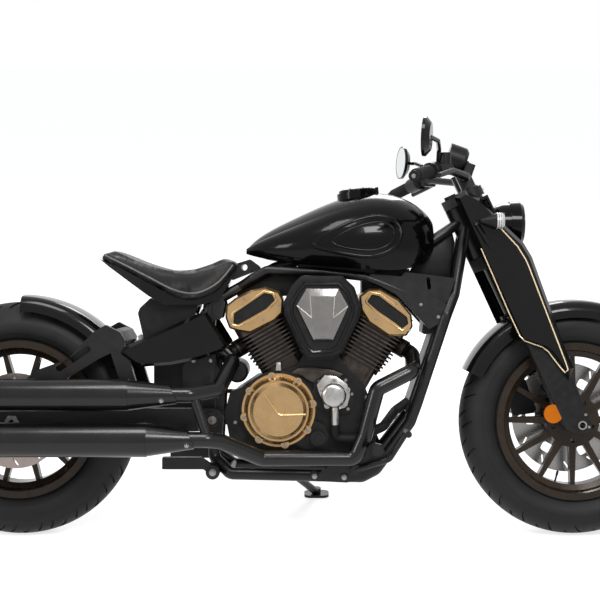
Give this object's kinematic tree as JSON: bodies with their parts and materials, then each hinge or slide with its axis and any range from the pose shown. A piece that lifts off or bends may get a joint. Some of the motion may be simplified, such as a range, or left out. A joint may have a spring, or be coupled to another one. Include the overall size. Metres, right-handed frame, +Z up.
{
  "type": "motorcycle",
  "caption": "Low bobber motorcycle with a V-twin engine, solo seat, spoked cast wheels, side exhausts and short fenders, leaning on its side stand",
  "frame": {"origin": "centre of the bounding box at ground level, under the leaning motorcycle", "axes": "+X forward to the front wheel, +Y to the rider's left, the side it leans to, +Z up"},
  "size_m": [2.2594, 0.8556, 1.1685],
  "materials": {
    "frame_paint": "satin black paint",
    "gloss_black": "gloss black paint",
    "engine_black": "matt black cast alloy",
    "fin_metal": "brown-grey machined fins",
    "gold_cover": "champagne gold anodised",
    "silver_metal": "bare cast alloy",
    "wheel_bronze": "dark bronze lacquer",
    "exhaust_black": "satin black high-heat coat",
    "steel": "ground steel",
    "chain_steel": "oiled steel",
    "tube_chrome": "polished hard chrome",
    "tyre_rubber": "black tyre rubber",
    "grip_rubber": "ribbed black rubber",
    "black_plastic": "fine grain black",
    "gloss_plastic": "gloss black",
    "plate_grey": "metallic grey",
    "seat_leather": "matt black hide",
    "lens_clear": "clear polycarbonate look",
    "lens_red": "red lens",
    "lens_amber": "amber lens",
    "plate_white": "plain white plate",
    "mirror_glass": "silvered"
  },
  "bodies": {
    "chassis": {"chain": "chain_steel", "frame": "frame_paint", "rear_axle": "steel", "swingarm": "frame_paint", "swingarm_cross": "frame_paint", "rear_fender": "black_plastic", "rear_shock": "steel", "crankcase": "engine_black", "cylinders": "fin_metal", "rocker_covers": "gold_cover", "rocker_inserts": "black_plastic", "battery_box": "black_plastic", "air_cleaner": "black_plastic", "air_cleaner_plate": "plate_grey", "clutch_cover": "gold_cover", "generator_cover": "gold_cover", "water_pump": "silver_metal", "radiator": "engine_black", "radiator_hose": "grip_rubber", "mufflers": "exhaust_black", "headers": "exhaust_black", "fuel_tank": "gloss_black", "seat_pad": "seat_leather", "seat_pan": "gloss_plastic", "tail_box": "black_plastic", "side_covers": "gloss_plastic", "frame_cover": "engine_black", "foot_controls": "frame_paint", "rear_caliper": "engine_black", "tail_bracket": "frame_paint", "number_plate": "plate_white", "tail_lamp": "lens_red", "rear_indicators": "black_plastic"},
    "steering": {"yokes": "engine_black", "fork_tubes": "tube_chrome", "fork_legs": "engine_black", "fork_covers": "gloss_plastic", "front_fender": "gloss_plastic", "front_axle": "steel", "headlight": "gloss_black", "headlight_lens": "lens_clear", "front_indicators": "black_plastic", "handlebar": "frame_paint", "grips": "grip_rubber", "hand_controls": "black_plastic", "mirrors": "gloss_plastic", "mirror_glass": "mirror_glass", "instrument": "black_plastic", "reflectors": "lens_amber", "front_caliper": "engine_black"},
    "front_wheel": {"front_rim": "wheel_bronze", "front_tyre": "tyre_rubber", "front_disc": "steel"},
    "rear_wheel": {"rear_rim": "wheel_bronze", "rear_tyre": "tyre_rubber", "rear_disc": "steel", "rear_sprocket": "steel"},
    "stand": {"side_stand": "frame_paint"},
    "cap": {"fuel_cap": "gloss_black"}
  },
  "joints": [
    {"name": "steering_head", "type": "hinge", "parent": "chassis", "child": "steering", "pos_m": [0.51941, -0.02444, 0.82789], "axis": [-0.4226, 0.1652, 0.8911], "range_deg": [-32, 32]},
    {"name": "front_wheel_spin", "type": "hinge", "parent": "steering", "child": "front_wheel", "pos_m": [0.81376, -0.12007, 0.31191], "axis": [0, 0.9833, -0.1822], "continuous": true},
    {"name": "rear_wheel_spin", "type": "hinge", "parent": "chassis", "child": "rear_wheel", "pos_m": [-0.72224, -0.11879, 0.3188], "axis": [0, 0.9833, -0.1822], "continuous": true},
    {"name": "side_stand_fold", "type": "hinge", "parent": "chassis", "child": "stand", "pos_m": [0.01376, -0.01871, 0.13447], "axis": [0.137, 0.6242, 0.7691], "range_deg": [0, 70]},
    {"name": "fuel_cap_hinge", "type": "hinge", "parent": "chassis", "child": "cap", "pos_m": [0.26798, -0.00241, 0.94675], "axis": [0, 0.9833, -0.1822], "range_deg": [0, 95]}
  ]
}
